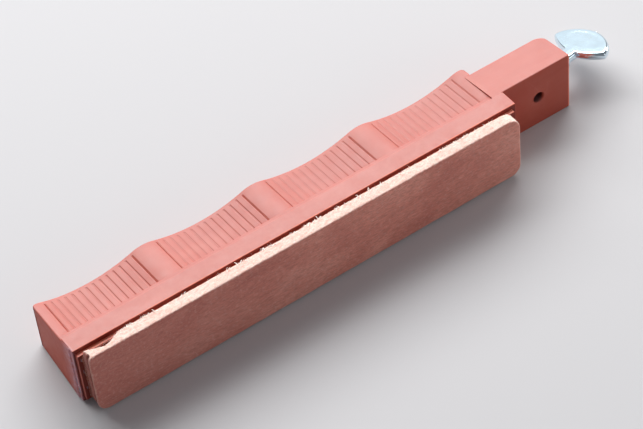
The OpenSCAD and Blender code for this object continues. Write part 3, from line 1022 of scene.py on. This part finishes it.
def leather_material(fibre=False):
    m = Mat("leather_fibre" if fibre else "leather")
    face_a, face_b, face_c = srgb(231, 148, 130), srgb(242, 168, 150), srgb(212, 126, 110)
    cut_a, cut_b, cut_c = srgb(240, 204, 192), srgb(252, 234, 224), srgb(212, 160, 146)
    if fibre:
        col = m.mix(m.noise(2.0, 2), srgb(252, 236, 228), srgb(255, 252, 248))
        m.link(col, m.b.inputs["Base Color"])
        # fine fibres let light through; a faint glow stands in for that
        m.set(Roughness=0.8, Emission_Strength=0.22)
        m.b.inputs["Emission Color"].default_value = (1.0, 0.90, 0.84, 1)
        return m.m
    nx, ny, nz = m.normal_local()
    x, y, z = m.xyz()
    # face colour: cloudy tan, long fine grain, a few darker rubbed patches
    cloud = m.noise(0.11, 4, 0.6, m.stretch(0.6, 1, 1), 0.5)
    face = m.ramp(cloud, [(0.30, face_c), (0.5, face_a), (0.70, face_b)])
    grain = m.noise(1.3, 6, 0.70, m.stretch(0.7, 3.2, 3.4), 0.3)
    face = m.mix(m.grey(grain, 0.0, 0.62, 0.42, 0.68), face, srgb(160, 82, 70))
    pores = m.voronoi(4.2, m.stretch(0.8, 1, 1.35))
    face = m.mix(m.grey(pores, 0.35, 0.0, 0.0, 0.30), face, srgb(150, 80, 68))
    hair = m.noise(3.4, 4, 0.7, m.stretch(0.5, 1.5, 4.5))
    face = m.mix(m.grey(hair, 0.0, 0.30, 0.55, 0.75), face, srgb(246, 190, 174))
    # painted shade: the face darkens towards the butt end, where less light falls on it
    face = m.mix(m.grey(m.xyz()[0], 0.50, 0.0, 4.0, 66.0), face, srgb(160, 84, 76))
    # cut edge colour: pale, fibrous, layered along its thickness
    layer = m.noise(1.7, 6, 0.72, m.stretch(0.8, 1.5, 0.8))
    cut = m.ramp(layer, [(0.30, cut_c), (0.50, cut_a), (0.70, cut_b)])
    nb = m.noise(5.0, 3, 0.6)
    cut = m.mix(m.grey(nb, 0.0, 0.55, 0.54, 0.74), cut, srgb(204, 150, 134))
    # the skin side wraps over the rim a little
    side = m.math("SUBTRACT", 1.0, m.math("ABSOLUTE", ny))
    side = m.math("ADD", side, m.grey(m.noise(1.5, 4, 0.6), -0.20, 0.20, 0.3, 0.7))
    is_cut = m.grey(side, 0.0, 1.0, 0.03, 0.66)
    col = m.mix(is_cut, face, cut)
    # raw flesh side at the back
    col = m.mix(m.grey(ny, 0.0, 1.0, 0.2, 0.5), col, m.mix(0.5, cut, srgb(250, 226, 212)))
    # the butt end is brown, all but the thin front lip: partly the burnished cut's own colour, partly painted shade on
    # this end face
    lip = m.grey(m.math("ADD", y, m.math("MULTIPLY", m.grey(m.noise(2.2, 3), -0.5, 0.5, 0.3, 0.7), 0.16)), 0.0, 1.0,
                 LBACK - LT + 0.42, LBACK - LT + 0.56)
    butt = m.math("MULTIPLY", m.grey(nx, 1.0, 0.0, -0.85, -0.55), m.grey(x, 1.0, 0.0, 2.3, 3.0))
    bands = m.noise(1.3, 5, 0.7, m.stretch(1.0, 3.6, 0.6))
    brown = m.ramp(bands, [(0.32, srgb(136, 66, 54)), (0.52, srgb(176, 98, 84)), (0.70, srgb(200, 124, 108))])
    # painted shade in the crease between the front lip and the body
    crease_shade = m.math("MULTIPLY", m.grey(y, 0.0, 1.0, LBACK - LT + 0.55, LBACK - LT + 0.75), m.grey(y, 1.0, 0.0, LBACK - LT + 1.25, LBACK - LT + 1.5))
    brown = m.mix(m.math("MULTIPLY", crease_shade, 0.8), brown, srgb(92, 24, 16))
    col = m.mix(m.math("MULTIPLY", butt, 0.85), col, srgb(188, 116, 98))
    col = m.mix(m.math("MULTIPLY", butt, lip), col, brown)
    # pared corner, painted dark reddish brown
    at = m.n("ShaderNodeAttribute", attribute_name="pared")
    pared_tint = m.ramp(m.noise(1.1, 5, 0.6), [(0.35, srgb(112, 38, 32)), (0.6, srgb(146, 60, 54)), (0.75, srgb(176, 92, 86))])
    col = m.mix(m.grey(at.outputs["Fac"], 0.0, 0.92, 0.35, 0.8), col, pared_tint)
    # burnished brown line just where the face turns over
    line = m.math("MULTIPLY", m.grey(side, 0.0, 1.0, 0.10, 0.30), m.grey(side, 1.0, 0.0, 0.34, 0.56))
    col = m.mix(m.math("MULTIPLY", line, 0.10), col, srgb(150, 90, 66))
    m.link(col, m.b.inputs["Base Color"])
    r = m.grey(m.noise(0.5, 4, 0.6), 0.50, 0.68, 0.3, 0.7)
    r = m.math("ADD", r, m.math("MULTIPLY", is_cut, 0.25))
    m.link(r, m.b.inputs["Roughness"])
    m.set(Specular_IOR_Level=0.35, Sheen_Weight=0.18, Sheen_Roughness=0.5, Subsurface_Weight=0.05, Subsurface_Scale=0.0006)
    fibre_h = m.noise(6.0, 6, 0.7, m.stretch(0.9, 1.0, 1.2), 0.6)
    m.bumps([(grain, 0.30, 0.06), (pores, 0.25, 0.05), (hair, 0.35, 0.04), (fibre_h, 0.45, 0.05)])
    return m.m


def cement_material():
    m = Mat("dried_cement")
    col = m.mix(m.noise(0.8, 4), srgb(140, 70, 54), srgb(186, 118, 98))
    m.link(col, m.b.inputs["Base Color"])
    m.link(m.grey(m.noise(1.5, 3), 0.16, 0.38, 0.3, 0.7), m.b.inputs["Roughness"])
    m.set(Subsurface_Weight=0.35, Subsurface_Scale=0.0005, Specular_IOR_Level=0.55)
    m.bumps([(m.noise(2.2, 4, 0.6), 0.35, 0.05)])
    return m.m


def glue_material():
    m = Mat("glue_run")
    col = m.mix(m.noise(0.9, 4), srgb(196, 160, 176), srgb(226, 208, 222))
    m.link(col, m.b.inputs["Base Color"])
    m.set(Roughness=0.22, Specular_IOR_Level=0.6, Subsurface_Weight=0.2, Subsurface_Scale=0.0004, Alpha=0.42)
    m.bumps([(m.noise(1.6, 4, 0.6), 0.3, 0.04)])
    return m.m


def metal_material(name, base, r0, r1, lines):
    m = Mat(name)
    x, y, z = m.xyz()
    cloud = m.noise(0.35, 4, 0.6)
    col = m.ramp(cloud, [(0.35, tuple(c * 0.93 if i < 3 else 1 for i, c in enumerate(base))), (0.65, base)])
    tarn = m.grey(m.noise(0.8, 6, 0.7), 0.0, 0.30, 0.58, 0.80)
    col = m.mix(tarn, col, srgb(196, 196, 196))
    m.link(col, m.b.inputs["Base Color"])
    sc = m.noise(2.4, 6, 0.75, m.stretch(*lines))
    rough = m.math("ADD", m.grey(sc, r0, r1, 0.35, 0.70), m.math("MULTIPLY", tarn, 0.3))
    m.link(rough, m.b.inputs["Roughness"])
    m.set(Metallic=1.0)
    ham = m.noise(0.55, 2, 0.5)
    m.bumps([(ham, 0.08, 0.08), (sc, 0.08, 0.02)])
    return m.m


def paint(ob, mat):
    ob.data.materials.clear()
    ob.data.materials.append(mat)


# ---------------------------------------------------------------- assemble
holder = build_holder()
paint(holder, plastic_material())
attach(holder, "strop")
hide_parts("holder")

strip, roots = build_leather()
paint(strip, leather_material())
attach(strip, "strop")
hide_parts("leather_strop")

fuzz = build_fibres(roots)
paint(fuzz, leather_material(True))
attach(fuzz, "strop")

film = build_cement()
paint(film, cement_material())
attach(film, "strop")
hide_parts("contact_cement")

glue = build_glue()
paint(glue, glue_material())
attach(glue, "strop")

stud = build_stud()
paint(stud, metal_material("thread_steel", srgb(206, 208, 210), 0.24, 0.40, (4, 0.4, 0.4)))
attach(stud, "screw_head")
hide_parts("thumbscrew_stud")

head = build_head()
paint(head, metal_material("bright_plate", srgb(222, 238, 248), 0.15, 0.22, (0.5, 3.0, 3.0)))
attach(head, "screw_head")
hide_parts("thumbscrew_head")

# ---------------------------------------------------------------- stage
FLOOR_Z = (PLACE @ Vector((50, LBACK, LLOW))).z
me = bpy.data.meshes.new("floor")
s = 6.0
me.from_pydata([(-s, -s, 0), (s, -s, 0), (s, s, 0), (-s, s, 0)], [], [(0, 1, 2, 3)])
floor = bpy.data.objects.new("floor", me)
floor.location = (0, 0, FLOOR_Z - 0.00003)
bpy.context.scene.collection.objects.link(floor)
fm = bpy.data.materials.new("floor")
fm.use_nodes = True
fm.node_tree.nodes["Principled BSDF"].inputs["Base Color"].default_value = (0.58, 0.58, 0.60, 1)
fm.node_tree.nodes["Principled BSDF"].inputs["Roughness"].default_value = 0.75
me.materials.append(fm)

world = bpy.data.worlds.new("studio")
bpy.context.scene.world = world
world.use_nodes = True
world.node_tree.nodes["Background"].inputs[0].default_value = (0.93, 0.95, 1.0, 1)
world.node_tree.nodes["Background"].inputs[1].default_value = 0.20


def area(name, loc, target, size, power, color=(1, 1, 1), size_y=None):
    li = bpy.data.lights.new(name, "AREA")
    li.shape = "RECTANGLE"
    li.size = size
    li.size_y = size_y or size
    li.energy = power
    li.color = color
    ob = bpy.data.objects.new(name, li)
    ob.location = loc
    ob.rotation_euler = (Vector(target) - Vector(loc)).to_track_quat("-Z", "Y").to_euler()
    bpy.context.scene.collection.objects.link(ob)
    return ob


mid_pt = PLACE @ Vector((62, 5, 7))
lamps = [
    area("key", (0.12, 0.60, 0.60), mid_pt, 1.25, 14.4, (1.0, 0.99, 0.975), 0.52),
    area("fill", (0.24, -0.44, 0.20), PLACE @ Vector((75, 0, 7)), 0.40, 0.38, (1.0, 0.96, 0.93), 0.25),
    area("back_panel", (0.30, 0.80, 0.20), PLACE @ SCREW @ Vector((8, 0, 0)), 0.72, 0.72, (0.90, 0.97, 1.0), 0.42),
    area("side", (0.75, 0.04, 0.06), PLACE @ Vector((TAB_END, 5, 7)), 0.22, 2.4, (1.0, 0.93, 0.86)),
]

# ---------------------------------------------------------------- camera
# position and turn in the design frame, mm
CAM = Vector((-102.2415, -274.4829, 356.0043))
ROT = Matrix(((0.8203072134, -0.5668329678, -0.0761345008),
              (-0.4607908944, -0.5761758436, -0.6750504788),
              (0.3387740060, 0.5888308619, -0.7338326709)))
cam_data = bpy.data.cameras.new("camera")
cam_data.sensor_width = 36
cam_data.lens = 36 * 2450 / 643
cam_data.clip_start = 0.01
cam_data.clip_end = 30
cam = bpy.data.objects.new("camera", cam_data)
bpy.context.scene.collection.objects.link(cam)
flip = Matrix(((1, 0, 0), (0, -1, 0), (0, 0, -1)))
turn = Matrix.Rotation(-LEAN, 3, "X") @ ROT.transposed() @ flip
cam.matrix_world = Matrix.Translation(PLACE @ CAM) @ turn.to_4x4()
bpy.context.scene.camera = cam

sc = bpy.context.scene
sc.view_settings.view_transform = "Standard"
sc.view_settings.look = "None"
sc.view_settings.exposure = 0.0
